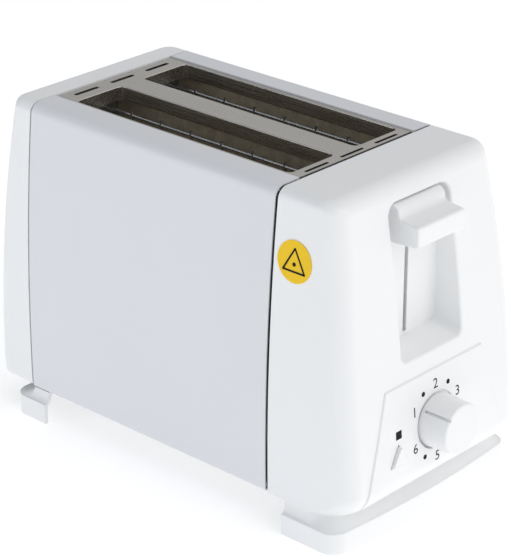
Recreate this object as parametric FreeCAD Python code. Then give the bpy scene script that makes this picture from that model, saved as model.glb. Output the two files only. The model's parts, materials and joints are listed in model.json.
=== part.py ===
"""Two-slice pop up toaster: folded steel body between two moulded end caps.

Frame: millimetres, +Z up, the control end faces -Y, the origin is the bottom centre of the whole object.
"""

import math
import os

import FreeCAD
import Part

V = FreeCAD.Vector

# Driving dimensions of the body
HEIGHT = 157.0          # floor to the top of the caps and side panels
BODY_BOTTOM = 15.5      # lower edge of the panels and caps
MAX_HALF_WIDTH = 58.6   # half width where the sides bulge most
BULGE_Z = 42.0          # height of that bulge
SIDE_RADIUS = 1077.0    # radius of the bulged sides, seen from the front
FRONT_SEAM = -56.5      # joint between the front cap and the steel body
REAR_SEAM = 93.5        # joint between the steel body and the rear cap
FRONT_GAP = 1.6
REAR_GAP = 0.8
TOP_SIDE_ROUND = 5.5    # rounding of the long top edges

# Front cap
FACE_Y = -105.6         # foremost point of the long arc that the face follows
FACE_ARC_Z = -24.4      # height of that point
FACE_RADIUS = 932.0
FACE_LOW_Z = 28.0       # the face turns under below this height
CHIN_RADIUS = 12.0
CHIN_LOW_Z = FACE_LOW_Z - CHIN_RADIUS + 0.6
CAP_CORNER = 8.5        # upright corners of the caps, seen from above
CAP_CORNER_TOP = 10.0   # the same corners at the top
CORNER_GROW_Z = 95.0    # height above which they widen
NECK_CORNER = 13.0      # the same corners under the chin
FRONT_TOP_ROUND = 8.5
CAP_WALL = 2.2
PAD_RAISE = 0.7         # raised control area
PAD_TOP_Z = 69.8
PAD_BOTTOM_Z = 20.0
PAD_TOP_HALF = 33.3
PAD_BOTTOM_HALF = 48.5
PAD_CHAMFER = 0.55

# Skirt and feet
SKIRT_HALF_WIDTH = 61.2
SKIRT_FACE_Y = -101.5   # the middle of the skirt's bowed front
SKIRT_BOW = 3.4         # how far that front falls back at the sides
SKIRT_NECK_Y = -92.5
SKIRT_BACK_Y = -67.8
SKIRT_CORNER = 8.0
FLARE_BOTTOM_Z = 10.0
FOOT_FRONT_Y = 82.5
FOOT_NECK_BACK_Y = 93.4
FOOT_BACK_Y = 104.6
FOOT_WALL = 1.6
FOOT_INNER_X = 49.0
FOOT_NECK_CORNER = 2.0

# Rear cap
REAR_Y = 117.9
REAR_LOW_Z = 20.0
REAR_RADIUS = 1001.0
REAR_TOP_ROUND = 5.0

# Sheet metal
SHEET = 0.6
PANEL_TOP_EDGE_X = 38.0   # where the panel's top flange turns down
PANEL_HEM_DROP = 8.0
PANEL_FLANGE_X = 50.0     # how far in the panel's bottom flange reaches
TOP_PLATE_Z = 156.4       # upper face of the top plate
SLOT_INNER_X = 7.0
SLOT_OUTER_X = 35.6
SLOT_FRONT_Y = -48.5
SLOT_REAR_Y = 81.5
SLOT_LIP = 6.0
SLOT_RIM_ROUND = 0.5
END_PLATE = 0.8
FRONT_PLATE_Y = -54.8
REAR_PLATE_Y = 91.0

# Lever recess in the front cap
RECESS_HALF = 20.6
RECESS_TOP_Z = 148.0
RECESS_BACK_Y = -84.0
RECESS_RAMP_Z = 81.0
RECESS_RAMP_FACE_Z = 78.0
RECESS_ROUND = 6.0
RECESS_LOW_ROUND = 3.5
RECESS_RIM_ROUND = 1.2
RECESS_CORNER_ROUND = 0.6
LEVER_SLOT_HALF = 1.15

# Lever and carriage
TRAVEL = 46.0
LEVER_HALF = 15.7
LEVER_BOTTOM_Z = 129.8
LEVER_TOP_Z = 147.0
LEVER_BACK_Y = -85.2
KNOB_STEP_Y = -91.9     # front of the lever's upright back
LEVER_TIP_Y = -102.5
LIP_TOP_Z = 140.6
RACK_X = 21.3
RACK_TOP_Z = 78.0
ROD_X = 24.0
ROD_Y = -66.0
ROD_RADIUS = 2.5
CARRIAGE_Y = -61.0
BUSH_BOTTOM_Z = 78.0
BUSH_TOP_Z = 96.0
BRACKET_TOP_Z = 20.0

# Controls
KNOB_Z = 45.6
KNOB_RADIUS = 12.3
KNOB_FRONT_Y = -117.9
KNOB_BACK_Y = -102.8
KNOB_RECESS_RADIUS = 13.3
KNOB_RECESS_Y = -102.3
SHAFT_RADIUS = 3.0
POINTER_DEG = 141.0
BOARD_Y = -88.3
BOARD_THICK = 1.6
STOP_X = -26.4
STOP_TOP_Z = 43.0
STOP_BOTTOM_Z = 34.0
STOP_HALF = 5.3
STOP_PROUD = 1.4

# Crumb tray
TRAY_HALF = 44.0
TRAY_FRONT_Y = -50.0
TRAY_REAR_Y = 106.0
TRAY_BOTTOM_Z = 9.4
TRAY_TOP_Z = 15.0
BASE_BOTTOM_Z = 16.1
BASE_THICK = 0.8
BASE_TOP_Z = BASE_BOTTOM_Z + BASE_THICK


# ---------------------------------------------------------------- helpers

def box(x0, x1, y0, y1, z0, z1):
    return Part.makeBox(x1 - x0, y1 - y0, z1 - z0, V(x0, y0, z0))


def rod(x, y, z0, z1, radius):
    return Part.makeCylinder(radius, z1 - z0, V(x, y, z0), V(0, 0, 1))


def rod_y(x, z, y0, y1, radius):
    return Part.makeCylinder(radius, y1 - y0, V(x, y0, z), V(0, 1, 0))


def prism_x(points, x0, x1):
    """Outline of (y, z) points, closed and pushed along X."""
    wire = Part.makePolygon([V(x0, y, z) for y, z in points + points[:1]])
    return Part.Face(wire).extrude(V(x1 - x0, 0, 0))


def prism_y(points, y0, y1):
    """Outline of (x, z) points, closed and pushed along Y."""
    wire = Part.makePolygon([V(x, y0, z) for x, z in points + points[:1]])
    return Part.Face(wire).extrude(V(0, y1 - y0, 0))


def mirror_x(shape):
    return shape.mirror(V(0, 0, 0), V(1, 0, 0))


def fuse(first, *others):
    return first.fuse(list(others)).removeSplitter()


def edges_where(shape, test):
    return [edge for edge in shape.Edges if test(edge)]


def spots(edge):
    """Three points along an edge, clear of its ends."""
    span = edge.LastParameter - edge.FirstParameter
    return [edge.valueAt(edge.FirstParameter + span * share) for share in (0.1, 0.5, 0.9)]


def along(edge, axis):
    """True for a straight edge that runs along the given axis, 0 for X, 1 for Y, 2 for Z."""
    if len(edge.Vertexes) != 2:
        return False
    span = edge.Vertexes[1].Point - edge.Vertexes[0].Point
    sizes = [abs(span.x), abs(span.y), abs(span.z)]
    others = sum(sizes) - sizes[axis]
    return sizes[axis] > 1e-3 and others < 1e-3


def rounded_box(x0, x1, y0, y1, z0, z1, radius, axis):
    """A box whose four edges along one axis are rounded."""
    block = box(x0, x1, y0, y1, z0, z1)
    return block.makeFillet(radius, edges_where(block, lambda e: along(e, axis)))


def side_x(z, inset=0.0):
    """Half width of the body at height z."""
    return MAX_HALF_WIDTH - (z - BULGE_Z) ** 2 / (2 * SIDE_RADIUS) - inset


def face_y(z):
    """Front face of the front cap at height z: a long arc, with the chin tangent to its lower end."""
    if z >= FACE_LOW_Z:
        return FACE_Y + (z - FACE_ARC_Z) ** 2 / (2 * FACE_RADIUS)
    lean = math.atan((FACE_LOW_Z - FACE_ARC_Z) / FACE_RADIUS)
    centre_y = face_y(FACE_LOW_Z) + CHIN_RADIUS * math.cos(lean)
    centre_z = FACE_LOW_Z - CHIN_RADIUS * math.sin(lean)
    drop = min(centre_z - z, CHIN_RADIUS)
    return centre_y - math.sqrt(CHIN_RADIUS ** 2 - drop ** 2)


def rear_y(z):
    """Rear face of the rear cap at height z."""
    return REAR_Y - (z - REAR_LOW_Z) ** 2 / (2 * REAR_RADIUS)


def plan_wire(z, half, y_face, y_back, radius):
    """Section of a cap at height z: square at the seam, rounded at the two outer corners."""
    turn = radius if y_back > y_face else -radius
    mid = radius * (1 - math.sqrt(0.5))
    tip = mid if turn > 0 else -mid
    corner = [
        Part.LineSegment(V(-half, y_back, z), V(-half, y_face + turn, z)),
        Part.Arc(V(-half, y_face + turn, z), V(-half + mid, y_face + tip, z), V(-half + radius, y_face, z)),
        Part.LineSegment(V(-half + radius, y_face, z), V(half - radius, y_face, z)),
        Part.Arc(V(half - radius, y_face, z), V(half - mid, y_face + tip, z), V(half, y_face + turn, z)),
        Part.LineSegment(V(half, y_face + turn, z), V(half, y_back, z)),
        Part.LineSegment(V(half, y_back, z), V(-half, y_back, z)),
    ]
    return Part.Wire([piece.toShape() for piece in corner])


def bowed_wire(z, half, y_face, y_back, radius, bow):
    """Section like plan_wire, whose front is an arc that falls back by bow over the half width."""
    if bow < 0.01:
        return plan_wire(z, half, y_face, y_back, radius)
    big = half ** 2 / (2 * bow)
    arc_y = y_face + big
    corner_x = half - radius
    corner_y = arc_y - math.sqrt((big - radius) ** 2 - corner_x ** 2)
    aim = math.atan2(corner_y - arc_y, corner_x)
    touch = (big * math.cos(aim), arc_y + big * math.sin(aim))
    middle = (corner_x + radius * math.cos(aim / 2), corner_y + radius * math.sin(aim / 2))
    pieces = [
        Part.LineSegment(V(-half, y_back, z), V(-half, corner_y, z)),
        Part.Arc(V(-half, corner_y, z), V(-middle[0], middle[1], z), V(-touch[0], touch[1], z)),
        Part.Arc(V(-touch[0], touch[1], z), V(0, y_face, z), V(touch[0], touch[1], z)),
        Part.Arc(V(touch[0], touch[1], z), V(middle[0], middle[1], z), V(half, corner_y, z)),
        Part.LineSegment(V(half, corner_y, z), V(half, y_back, z)),
        Part.LineSegment(V(half, y_back, z), V(-half, y_back, z)),
    ]
    return Part.Wire([piece.toShape() for piece in pieces])


def loft(wires):
    return Part.makeLoft(wires, True, False)


def round_top(solid, top_z, y_back, y_front, front_round, side_round):
    """Round the top edges of a cap, with one radius at the sides and another across the end."""
    doc = FreeCAD.newDocument("rounding")
    base = doc.addObject("Part::Feature", "base")
    base.Shape = solid
    chosen = []
    for number, edge in enumerate(base.Shape.Edges, start=1):
        bounds = edge.BoundBox
        at_seam = abs(bounds.YMin - y_back) < 0.01 and abs(bounds.YMax - y_back) < 0.01
        if bounds.ZMin < top_z - 0.01 or at_seam:
            continue
        if bounds.YLength < 0.01:
            radii = (front_round, front_round)
        elif bounds.XLength < 0.01:
            radii = (side_round, side_round)
        else:
            first = edge.valueAt(edge.FirstParameter)
            starts_at_end = abs(first.y - y_front) < 0.05
            radii = (front_round, side_round) if starts_at_end else (side_round, front_round)
            swapped = edge.Vertexes[0].Point.distanceToPoint(first) > 0.05
            if edge.Orientation == "Reversed" and swapped:
                radii = radii[::-1]
        chosen.append((number, *radii))
    rounding = doc.addObject("Part::Fillet", "rounding")
    rounding.Base = base
    rounding.Edges = chosen
    doc.recompute()
    result = rounding.Shape.copy()
    FreeCAD.closeDocument(doc.Name)
    return result.Solids[0]


# ---------------------------------------------------------------- moulded caps

def front_body(inset, bottom, proud=0.0):
    """The front cap's outer form, moved inwards by inset; proud moves only its face outwards."""
    back = FRONT_SEAM - FRONT_GAP / 2 + (1.0 if inset > 0 else 0.0)
    top = HEIGHT - inset

    def section(z):
        above = max(0.0, (z - CORNER_GROW_Z) / (HEIGHT - CORNER_GROW_Z))
        below = max(0.0, (FACE_LOW_Z - z) / (FACE_LOW_Z - CHIN_LOW_Z))
        radius = CAP_CORNER + (CAP_CORNER_TOP - CAP_CORNER) * above + (NECK_CORNER - CAP_CORNER) * below ** 2
        return plan_wire(z, side_x(z, inset), face_y(z) + inset - proud, back, radius - inset)

    upper_heights = [FACE_LOW_Z, 45.0, 62.0, 79.0, CORNER_GROW_Z, 116.0, 137.0, top]
    upper = loft([section(z) for z in upper_heights])
    top_face_y = face_y(top) + inset - proud
    upper = round_top(upper, top, back, top_face_y, FRONT_TOP_ROUND - inset, TOP_SIDE_ROUND - inset)
    steps = [FACE_LOW_Z, 26.0, 23.5, 21.0, 19.0, 17.5, CHIN_LOW_Z]
    chin = loft([section(z) for z in reversed(steps)])
    half = side_x(CHIN_LOW_Z, inset)
    neck = plan_wire(CHIN_LOW_Z, half, face_y(CHIN_LOW_Z) + inset - proud, back, NECK_CORNER - inset)
    low = plan_wire(bottom, half, SKIRT_NECK_Y + inset - proud, back, NECK_CORNER - inset)
    return fuse(upper, chin, Part.makeLoft([low, neck], True, True))


def skirt_block(inset, y_back, z0, z1):
    """Upright block with the skirt's plan outline, moved inwards by inset."""
    wire = bowed_wire(z0, SKIRT_HALF_WIDTH - inset, SKIRT_FACE_Y + inset, y_back,
                      SKIRT_CORNER - inset, SKIRT_BOW)
    return Part.Face(wire).extrude(V(0, 0, z1 - z0))


def make_skirt():
    """Flared skirt under the front cap: hollow, open below and behind."""
    neck_half = side_x(CHIN_LOW_Z)
    drop = BODY_BOTTOM - FLARE_BOTTOM_Z
    wires = []
    for degrees in (80, 65, 50, 35, 18, 0):
        angle = math.radians(degrees)
        grow = 1 - math.cos(angle)
        half = neck_half + (SKIRT_HALF_WIDTH - neck_half) * grow
        front = SKIRT_NECK_Y + (SKIRT_FACE_Y - SKIRT_NECK_Y) * grow
        corner = NECK_CORNER + (SKIRT_CORNER - NECK_CORNER) * grow
        z = BODY_BOTTOM - drop * math.sin(angle)
        wires.append(bowed_wire(z, half, front, SKIRT_BACK_Y, corner, SKIRT_BOW * grow))
    flare = loft(wires)
    foot_top = BODY_BOTTOM - drop * math.sin(math.radians(80))
    foot = skirt_block(0.0, SKIRT_BACK_Y, 0.0, foot_top)
    rim = edges_where(foot, lambda e: e.BoundBox.ZMin > foot_top - 0.01
                      and e.BoundBox.YMin < SKIRT_BACK_Y - 0.1)
    foot = foot.makeFillet(0.5, rim)
    low_hollow = skirt_block(CAP_WALL, SKIRT_BACK_Y + 1, -1.0, FLARE_BOTTOM_Z - CAP_WALL)
    neck_wire = plan_wire(-1.0, neck_half - CAP_WALL, SKIRT_NECK_Y + CAP_WALL, SKIRT_BACK_Y + 1,
                          NECK_CORNER - CAP_WALL)
    high_hollow = Part.Face(neck_wire).extrude(V(0, 0, BODY_BOTTOM + 2.0))
    return fuse(flare, foot).cut(low_hollow).cut(high_hollow)


def pad_outline(grow):
    """Trapezoid of the raised control area, larger by grow."""
    return [
        (-PAD_TOP_HALF - grow, PAD_TOP_Z + grow),
        (PAD_TOP_HALF + grow, PAD_TOP_Z + grow),
        (PAD_BOTTOM_HALF + grow, PAD_BOTTOM_Z),
        (-PAD_BOTTOM_HALF - grow, PAD_BOTTOM_Z),
    ]


def recess_form(grow):
    """The finger recess that the lever runs in, larger by grow on every wall."""
    out_y = FACE_Y - 10.0
    slope = (RECESS_RAMP_Z - RECESS_RAMP_FACE_Z) / (RECESS_BACK_Y - face_y(RECESS_RAMP_FACE_Z))
    low_z = RECESS_RAMP_Z - slope * (RECESS_BACK_Y - out_y)
    outline = [
        (RECESS_BACK_Y + grow, RECESS_TOP_Z + grow),
        (out_y, RECESS_TOP_Z + grow),
        (out_y, low_z - grow),
        (RECESS_BACK_Y + grow, RECESS_RAMP_Z - grow),
    ]
    form = prism_x(outline, -RECESS_HALF - grow, RECESS_HALF + grow)
    upper = edges_where(form, lambda e: along(e, 1) and e.BoundBox.ZMin > RECESS_TOP_Z - 1)
    form = form.makeFillet(RECESS_ROUND + grow, upper)
    lower = edges_where(form, lambda e: e.BoundBox.XLength < 0.01 and e.BoundBox.YLength > 5
                        and e.BoundBox.ZMax < RECESS_RAMP_Z + 0.5)
    return form.makeFillet(RECESS_LOW_ROUND + grow, lower)


def stop_outline(grow):
    return [
        (STOP_X - STOP_HALF - grow * 1.4, STOP_BOTTOM_Z - grow),
        (STOP_X + STOP_HALF + grow * 1.4, STOP_BOTTOM_Z - grow),
        (STOP_X, STOP_TOP_Z + grow * 2.0),
    ]


BOARD_POSTS = [(-31.0, 27.0), (21.0, 27.0), (-31.0, 62.0), (21.0, 62.0)]
FRONT_BOSSES = [(-47.0, -76.0), (47.0, -76.0)]
REAR_BOSSES = [(-47.0, 102.0), (47.0, 102.0)]
BOSS_RADIUS = 4.0
RIB_REACH = 1.24
BOSS_TOP_Z = 34.0
SCREW_RADIUS = 1.5


def boss_rib(x, y):
    """Web that ties a screw boss to the cap's side wall."""
    x0, x1 = sorted((x, x * RIB_REACH))
    return box(x0, x1, y - 1, y + 1, BASE_TOP_Z, BOSS_TOP_Z)


def on_pad_rim(edge):
    """True for the outer edges of the raised control area, but not its foot."""
    for point in spots(edge):
        share = (PAD_TOP_Z - point.z) / (PAD_TOP_Z - PAD_BOTTOM_Z)
        half = PAD_TOP_HALF + (PAD_BOTTOM_HALF - PAD_TOP_HALF) * share
        on_outline = abs(abs(point.x) - half) < 0.1 or abs(point.z - PAD_TOP_Z) < 0.05
        on_face = abs(point.y - face_y(point.z) + PAD_RAISE) < 0.12
        if point.z < PAD_BOTTOM_Z - 0.1 or not on_outline or not on_face:
            return False
    return True


def on_recess_rim(edge):
    """True for the edges where the finger recess opens in the face."""
    for point in spots(edge):
        inside = abs(point.x) < RECESS_HALF + 0.05 and point.z < RECESS_TOP_Z + 0.1
        low = point.z < RECESS_RAMP_FACE_Z - 2
        if low or not inside or abs(point.y - face_y(point.z)) > 0.15:
            return False
    return True


def on_recess_back(edge):
    """True for the edges round the recess's upright back wall."""
    for point in spots(edge):
        on_wall = abs(point.y - RECESS_BACK_Y) < 0.05 and abs(point.x) < RECESS_HALF + 0.05
        if not on_wall or point.z < RECESS_RAMP_Z - 0.1:
            return False
    return True


def make_front_cap():
    raised = front_body(0.0, BODY_BOTTOM, PAD_RAISE)
    pad = raised.common(prism_y(pad_outline(0.0), FACE_Y - 10, FACE_Y + 6))
    form = fuse(front_body(0.0, BODY_BOTTOM), pad)
    form = form.makeChamfer(PAD_CHAMFER, edges_where(form, on_pad_rim))
    form = form.cut(recess_form(0.0))
    form = form.makeFillet(RECESS_RIM_ROUND, edges_where(form, on_recess_rim))
    form = form.makeFillet(RECESS_CORNER_ROUND, edges_where(form, on_recess_back))
    hollow = front_body(CAP_WALL, BODY_BOTTOM - 1).cut(recess_form(CAP_WALL))
    inside = front_body(CAP_WALL / 2, BODY_BOTTOM)
    posts = [rod_y(x, z, BOARD_Y - 20, BOARD_Y, 3.0).common(inside) for x, z in BOARD_POSTS]
    bosses = [rod(x, y, BASE_TOP_Z, BOSS_TOP_Z, BOSS_RADIUS) for x, y in FRONT_BOSSES]
    ribs = [boss_rib(x, y).common(inside) for x, y in FRONT_BOSSES]
    shell = fuse(form.cut(hollow), make_skirt(), *posts, *bosses, *ribs)
    shell = shell.cut(box(-LEVER_SLOT_HALF, LEVER_SLOT_HALF, RECESS_BACK_Y - 1, RECESS_BACK_Y + 4,
                          RECESS_RAMP_Z + 0.7, LEVER_TOP_Z - 1))
    shell = shell.cut(rod_y(0, KNOB_Z, FACE_Y - 10, KNOB_RECESS_Y, KNOB_RECESS_RADIUS))
    shell = shell.cut(rod_y(0, KNOB_Z, FACE_Y - 10, FACE_Y + 10, SHAFT_RADIUS + 0.6))
    shell = shell.cut(prism_y(stop_outline(0.35), FACE_Y - 10, FACE_Y + 8))
    for x, z in BOARD_POSTS:
        shell = shell.cut(rod_y(x, z, BOARD_Y - 8, BOARD_Y + 1, 1.25))
    for x, y in FRONT_BOSSES:
        shell = shell.cut(rod(x, y, BASE_TOP_Z - 1, BASE_TOP_Z + 10, SCREW_RADIUS))
    return shell


GLAND_X = 30.0
GLAND_Z = 34.0
GLAND_NECK = 5.0


def rear_body(inset, bottom):
    """The rear cap's outer form, moved inwards by inset."""
    back = REAR_SEAM + REAR_GAP / 2 - (1.0 if inset > 0 else 0.0)
    top = HEIGHT - inset
    heights = [bottom, 40.0, 70.0, 100.0, 130.0, top]
    wires = [plan_wire(z, side_x(z, inset), rear_y(z) - inset, back, CAP_CORNER - inset) for z in heights]
    form = round_top(loft(wires), top, back, rear_y(top) - inset, REAR_TOP_ROUND - inset * 0.6,
                     TOP_SIDE_ROUND - inset * 0.6)
    if inset > 0:
        return form
    low = edges_where(form, lambda e: e.BoundBox.ZMax < bottom + 0.01 and e.BoundBox.YMin > back + 0.1)
    return form.makeFillet(3.0, low)


def make_rear_cap():
    outer = rear_body(0.0, BODY_BOTTOM)
    hollow = rear_body(CAP_WALL, BODY_BOTTOM - 1)
    shell = outer.cut(hollow)
    inside = rear_body(CAP_WALL / 2, BODY_BOTTOM - 1)
    bosses = [rod(x, y, BASE_TOP_Z, BOSS_TOP_Z, BOSS_RADIUS) for x, y in REAR_BOSSES]
    ribs = [boss_rib(x, y).common(inside) for x, y in REAR_BOSSES]
    shell = fuse(shell, *bosses, *ribs)
    for x, y in REAR_BOSSES:
        shell = shell.cut(rod(x, y, BASE_TOP_Z - 1, BASE_TOP_Z + 10, SCREW_RADIUS))
    return shell.cut(rod_y(GLAND_X, GLAND_Z, REAR_Y - 10, REAR_Y + 5, GLAND_NECK + 0.02))


def make_cord_gland():
    outer_y = rear_y(GLAND_Z)
    neck = rod_y(GLAND_X, GLAND_Z, outer_y - CAP_WALL - 3.0, outer_y + 0.02, GLAND_NECK)
    flange = rod_y(GLAND_X, GLAND_Z, outer_y - CAP_WALL - 3.0, outer_y - CAP_WALL - 0.4, GLAND_NECK + 2.0)
    ring = fuse(neck, flange)
    return ring.cut(rod_y(GLAND_X, GLAND_Z, outer_y - 12, outer_y + 5, 3.3))


# ---------------------------------------------------------------- sheet metal body

def panel_form(inset, y0, y1):
    """Solid form of the right side panel, moved inwards by inset."""
    bottom = BODY_BOTTOM + inset
    top = HEIGHT - inset
    left = PANEL_TOP_EDGE_X + inset
    centre = MAX_HALF_WIDTH - SIDE_RADIUS
    mid_z = (bottom + top) / 2

    def at(z):
        radius = SIDE_RADIUS - inset
        return centre + math.sqrt(radius ** 2 - (z - BULGE_Z) ** 2)

    side = Part.Arc(V(at(bottom), y0, bottom), V(at(mid_z), y0, mid_z), V(at(top), y0, top)).toShape()
    others = Part.makePolygon([V(at(top), y0, top), V(left, y0, top), V(left, y0, bottom),
                               V(at(bottom), y0, bottom)])
    form = Part.Face(Part.Wire([side] + others.Edges)).extrude(V(0, y1 - y0, 0))
    upper = edges_where(form, lambda e: along(e, 1) and e.BoundBox.ZMin > top - 0.1
                        and e.BoundBox.XMin > left + 1)
    form = form.makeFillet(TOP_SIDE_ROUND - inset, upper)
    lower = edges_where(form, lambda e: along(e, 1) and e.BoundBox.ZMax < bottom + 0.1
                        and e.BoundBox.XMin > left + 1)
    return form.makeFillet(1.2 - inset, lower)


def make_side_panel():
    y0 = FRONT_SEAM + FRONT_GAP / 2
    y1 = REAR_SEAM - REAR_GAP / 2
    panel = panel_form(0.0, y0, y1).cut(panel_form(SHEET, y0 - 1, y1 + 1))
    panel = panel.cut(box(PANEL_TOP_EDGE_X - 1, PANEL_FLANGE_X, y0 - 1, y1 + 1, BODY_BOTTOM - 1,
                          HEIGHT - PANEL_HEM_DROP))
    return panel


def on_slot_rim(edge):
    """True for the upper inner edges of the two bread openings."""
    box_of = edge.BoundBox
    if box_of.ZMin < TOP_PLATE_Z - 0.01:
        return False
    for point in spots(edge):
        if not SLOT_INNER_X - 0.05 < abs(point.x) < SLOT_OUTER_X + 0.05:
            return False
        if not SLOT_FRONT_Y - 0.05 < point.y < SLOT_REAR_Y + 0.05:
            return False
    return True


def make_top_plate():
    y0 = FRONT_SEAM + 1.6
    y1 = REAR_SEAM - 1.0
    half = PANEL_TOP_EDGE_X - 0.5
    low = TOP_PLATE_Z - SHEET
    plate = box(-half, half, y0, y1, low, TOP_PLATE_Z)
    edges = [box(x - SHEET / 2, x + SHEET / 2, y0, y1, low - SLOT_LIP, low)
             for x in (-half + SHEET / 2, half - SHEET / 2)]
    plate = fuse(plate, *edges)
    for side in (-1, 1):
        inner = side * SLOT_INNER_X
        outer = side * SLOT_OUTER_X
        x0, x1 = sorted((inner, outer))
        tube = rounded_box(x0 - SHEET, x1 + SHEET, SLOT_FRONT_Y - SHEET, SLOT_REAR_Y + SHEET,
                           low - SLOT_LIP, TOP_PLATE_Z, 2.5 + SHEET, 2)
        hole = rounded_box(x0, x1, SLOT_FRONT_Y, SLOT_REAR_Y, low - SLOT_LIP - 1, TOP_PLATE_Z + 1, 2.5, 2)
        plate = fuse(plate, tube).cut(hole)
    rims = edges_where(plate, on_slot_rim)
    plate = plate.makeFillet(SLOT_RIM_ROUND, rims)
    for x in (-23.0, 0.0, 23.0):
        plate = plate.cut(rounded_box(x - 7.5, x + 7.5, y0 + 1.7, y0 + 3.3, low - 1, TOP_PLATE_Z + 1,
                                      0.75, 2))
        plate = plate.cut(rounded_box(x - 7.5, x + 7.5, y1 - 5.6, y1 - 3.4, low - 1, TOP_PLATE_Z + 1,
                                      1.0, 2))
    return plate


def end_plate_outline():
    """Half outline of an end plate: wide between the panels, narrow between their hems."""
    shoulder = HEIGHT - PANEL_HEM_DROP - 1.5
    side = [(side_x(z, SHEET + 0.6), z) for z in (BASE_TOP_Z, 42.0, 75.0, 110.0, shoulder)]
    neck = [(PANEL_TOP_EDGE_X - 1.3, shoulder), (PANEL_TOP_EDGE_X - 1.3, TOP_PLATE_Z - SHEET)]
    right = side + neck
    left = [(-x, z) for x, z in reversed(right)]
    return right + left


RACK_SLOT_HALF = 2.0
RACK_SLOT_LOW = 18.6
RACK_SLOT_HIGH = 80.4


def make_end_plate(y0):
    plate = prism_y(end_plate_outline(), y0, y0 + END_PLATE)
    for side in (-1, 1):
        x = side * RACK_X
        plate = plate.cut(rounded_box(x - RACK_SLOT_HALF, x + RACK_SLOT_HALF, y0 - 1, y0 + 2,
                                      RACK_SLOT_LOW, RACK_SLOT_HIGH, 1.5, 1))
    return plate


def make_base_plate():
    """Floor of the body, open over the crumb tray."""
    mid = box(-56.2, 56.2, FRONT_SEAM + 1.5, REAR_SEAM - 1.5, BASE_BOTTOM_Z, BASE_TOP_Z)
    front = box(-54.5, 54.5, -84.0, FRONT_SEAM + 2, BASE_BOTTOM_Z, BASE_TOP_Z)
    rear = box(-54.5, 54.5, REAR_SEAM - 2, 110.0, BASE_BOTTOM_Z, BASE_TOP_Z)
    plate = fuse(mid, front, rear)
    for side in (-1, 1):
        x0, x1 = sorted((side * 3.0, side * 40.0))
        plate = plate.cut(rounded_box(x0, x1, -46.0, 84.0, BASE_BOTTOM_Z - 1, BASE_TOP_Z + 1, 4.0, 2))
    for x, y in FRONT_BOSSES + REAR_BOSSES:
        plate = plate.cut(rod(x, y, BASE_BOTTOM_Z - 1, BASE_TOP_Z + 1, SCREW_RADIUS + 0.15))
    return plate


def make_reflector(side):
    x = side * 46.5
    sheet = box(x - 0.25, x + 0.25, FRONT_PLATE_Y + END_PLATE, REAR_PLATE_Y, BASE_TOP_Z, 147.0)
    foot0, foot1 = sorted((x, x + side * 5.0))
    foot = box(foot0, foot1, FRONT_PLATE_Y + END_PLATE, REAR_PLATE_Y, BASE_TOP_Z, BASE_TOP_Z + 0.5)
    return fuse(sheet, foot)


def make_tray_rail(side):
    """Rail under the floor that the tray's edge slides on."""
    wall0, wall1 = sorted((side * (TRAY_HALF + 0.6), side * (TRAY_HALF + 1.4)))
    lip0, lip1 = sorted((side * (TRAY_HALF - 3.0), side * (TRAY_HALF + 1.4)))
    wall = box(wall0, wall1, -50.0, 90.0, TRAY_BOTTOM_Z - 1.2, BASE_BOTTOM_Z)
    lip = box(lip0, lip1, -50.0, 90.0, TRAY_BOTTOM_Z - 1.2, TRAY_BOTTOM_Z - 0.4)
    return fuse(wall, lip)


# ---------------------------------------------------------------- heating

BOARD_FRONT_Y = FRONT_PLATE_Y + END_PLATE
BOARD_REAR_Y = REAR_PLATE_Y
HEATER_LOW_Z = BASE_TOP_Z
HEATER_HIGH_Z = 147.0
MICA = 0.8
HEATER_X = {"left": -41.0, "centre": 0.0, "right": 41.0}
RIBBON_TURNS = 11
RIBBON_WIDE = 1.6
RIBBON_THICK = 0.25


def make_heater_board(x):
    return box(x - MICA / 2, x + MICA / 2, BOARD_FRONT_Y, BOARD_REAR_Y, HEATER_LOW_Z, HEATER_HIGH_Z)


def make_heater_ribbon(x):
    """Resistance ribbon: one flat run on each face of the board for every turn."""
    runs = []
    pitch = (HEATER_HIGH_Z - HEATER_LOW_Z - 24.0) / (RIBBON_TURNS - 1)
    for turn in range(RIBBON_TURNS):
        z = HEATER_LOW_Z + 12.0 + turn * pitch
        for side in (-1, 1):
            x0, x1 = sorted((x + side * MICA / 2, x + side * (MICA / 2 + RIBBON_THICK)))
            runs.append(box(x0, x1, BOARD_FRONT_Y + 10, BOARD_REAR_Y - 10, z, z + RIBBON_WIDE))
    return Part.makeCompound(runs)


GUARD_RADIUS = 0.75
GUARD_COUNT = 7
GUARD_LOW_Z = 24.0
GUARD_HIGH_Z = 144.0


def make_guard_grid(x):
    """Upright wires that keep the bread off the heaters, on two long wires between the end plates."""
    long_wires = [rod_y(x, z, BOARD_FRONT_Y, BOARD_REAR_Y, GUARD_RADIUS) for z in (GUARD_LOW_Z, GUARD_HIGH_Z)]
    pitch = (SLOT_REAR_Y - SLOT_FRONT_Y - 16.0) / (GUARD_COUNT - 1)
    uprights = []
    for number in range(GUARD_COUNT):
        y = SLOT_FRONT_Y + 8.0 + number * pitch
        uprights.append(rod(x, y, GUARD_LOW_Z - 2.0, GUARD_HIGH_Z + 2.0, GUARD_RADIUS))
    return fuse(long_wires[0], long_wires[1], *uprights)


# ---------------------------------------------------------------- lift mechanism

ROD_TOP_Z = 150.0
SPRING_TURNS = 9
SPRING_STEPS = 12
SPRING_MEAN_RADIUS = 3.9
SPRING_WIRE_RADIUS = 0.45
BRACKET_THICK = 2.0
BRACKET_FRONT_Y = -78.0


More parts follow.
